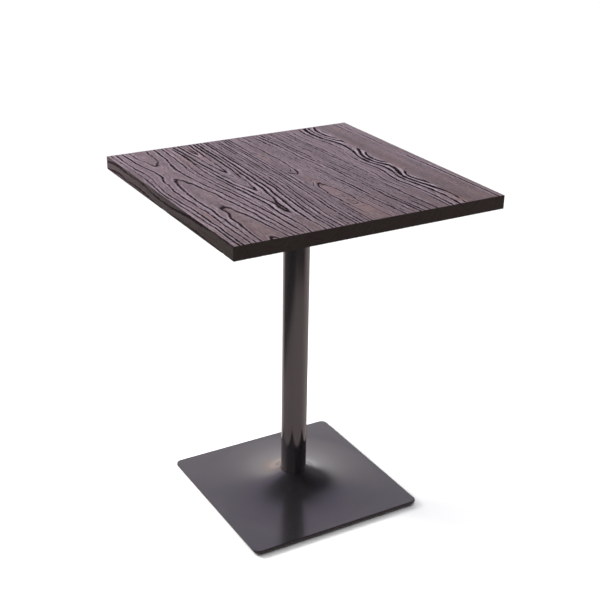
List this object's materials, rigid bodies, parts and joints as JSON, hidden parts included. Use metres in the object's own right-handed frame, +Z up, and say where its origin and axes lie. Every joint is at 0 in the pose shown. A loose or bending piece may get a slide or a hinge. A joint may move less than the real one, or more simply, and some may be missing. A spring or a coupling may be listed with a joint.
{
  "type": "bistro table",
  "caption": "Square bistro table: glued wooden top on a round steel column, with a flared square foot and levelling glides.",
  "frame": {"origin": "on the floor, under the middle of the column", "axes": "+Z up, X along the wood grain, Y across the boards"},
  "size_m": [0.6, 0.6, 0.75],
  "materials": {
    "stained_wood": "dark stain, wire-brushed open grain, matt lacquer",
    "gunmetal_steel": "satin gunmetal plating",
    "black_plate": "matt black primer",
    "black_cast_iron": "black paint on a cast surface",
    "zinc_plated_steel": "bright zinc plating",
    "black_nylon": "moulded, matt"
  },
  "bodies": {
    "table": {"top_board_1": "stained_wood", "top_board_2": "stained_wood", "top_board_3": "stained_wood", "top_board_4": "stained_wood", "top_board_5": "stained_wood", "top_spider": "black_cast_iron", "spider_screw_1": "zinc_plated_steel", "spider_screw_2": "zinc_plated_steel", "spider_screw_3": "zinc_plated_steel", "spider_screw_4": "zinc_plated_steel", "spider_screw_5": "zinc_plated_steel", "spider_screw_6": "zinc_plated_steel", "spider_screw_7": "zinc_plated_steel", "spider_screw_8": "zinc_plated_steel", "column_tube": "gunmetal_steel", "tie_rod": "zinc_plated_steel", "top_washer": "zinc_plated_steel", "top_spring_washer": "zinc_plated_steel", "top_nut": "zinc_plated_steel", "bottom_washer": "zinc_plated_steel", "bottom_spring_washer": "zinc_plated_steel", "bottom_nut": "zinc_plated_steel", "base_cover": "gunmetal_steel", "ballast_plate": "black_plate", "foot_hub": "black_cast_iron", "hub_screw_1": "zinc_plated_steel", "hub_screw_2": "zinc_plated_steel", "hub_screw_3": "zinc_plated_steel", "hub_screw_4": "zinc_plated_steel", "glide_nut_1": "zinc_plated_steel", "glide_nut_2": "zinc_plated_steel", "glide_nut_3": "zinc_plated_steel", "glide_nut_4": "zinc_plated_steel"},
    "pad_1": {"glide_pad_1": "black_nylon"},
    "stud_1": {"glide_stud_1": "zinc_plated_steel"},
    "pad_2": {"glide_pad_2": "black_nylon"},
    "stud_2": {"glide_stud_2": "zinc_plated_steel"},
    "pad_3": {"glide_pad_3": "black_nylon"},
    "stud_3": {"glide_stud_3": "zinc_plated_steel"},
    "pad_4": {"glide_pad_4": "black_nylon"},
    "stud_4": {"glide_stud_4": "zinc_plated_steel"}
  },
  "joints": [
    {"name": "glide_1_travel", "type": "slide", "parent": "table", "child": "pad_1", "axis": [0, 0, 1], "range_m": [-0.00313, 0]},
    {"name": "glide_1_turn", "type": "hinge", "parent": "pad_1", "child": "stud_1", "pos_m": [-0.186, -0.186, 0.003], "axis": [0, 0, 1], "range_deg": [-900, 0]},
    {"name": "glide_2_travel", "type": "slide", "parent": "table", "child": "pad_2", "axis": [0, 0, 1], "range_m": [-0.00313, 0]},
    {"name": "glide_2_turn", "type": "hinge", "parent": "pad_2", "child": "stud_2", "pos_m": [0.186, -0.186, 0.003], "axis": [0, 0, 1], "range_deg": [-900, 0]},
    {"name": "glide_3_travel", "type": "slide", "parent": "table", "child": "pad_3", "axis": [0, 0, 1], "range_m": [-0.00313, 0]},
    {"name": "glide_3_turn", "type": "hinge", "parent": "pad_3", "child": "stud_3", "pos_m": [0.186, 0.186, 0.003], "axis": [0, 0, 1], "range_deg": [-900, 0]},
    {"name": "glide_4_travel", "type": "slide", "parent": "table", "child": "pad_4", "axis": [0, 0, 1], "range_m": [-0.00313, 0]},
    {"name": "glide_4_turn", "type": "hinge", "parent": "pad_4", "child": "stud_4", "pos_m": [-0.186, 0.186, 0.003], "axis": [0, 0, 1], "range_deg": [-900, 0]}
  ],
  "couplings": [
    {"joint": "glide_1_travel", "follows": "glide_1_turn", "m_per_rad": 0.00019894},
    {"joint": "glide_2_travel", "follows": "glide_2_turn", "m_per_rad": 0.00019894},
    {"joint": "glide_3_travel", "follows": "glide_3_turn", "m_per_rad": 0.00019894},
    {"joint": "glide_4_travel", "follows": "glide_4_turn", "m_per_rad": 0.00019894}
  ]
}
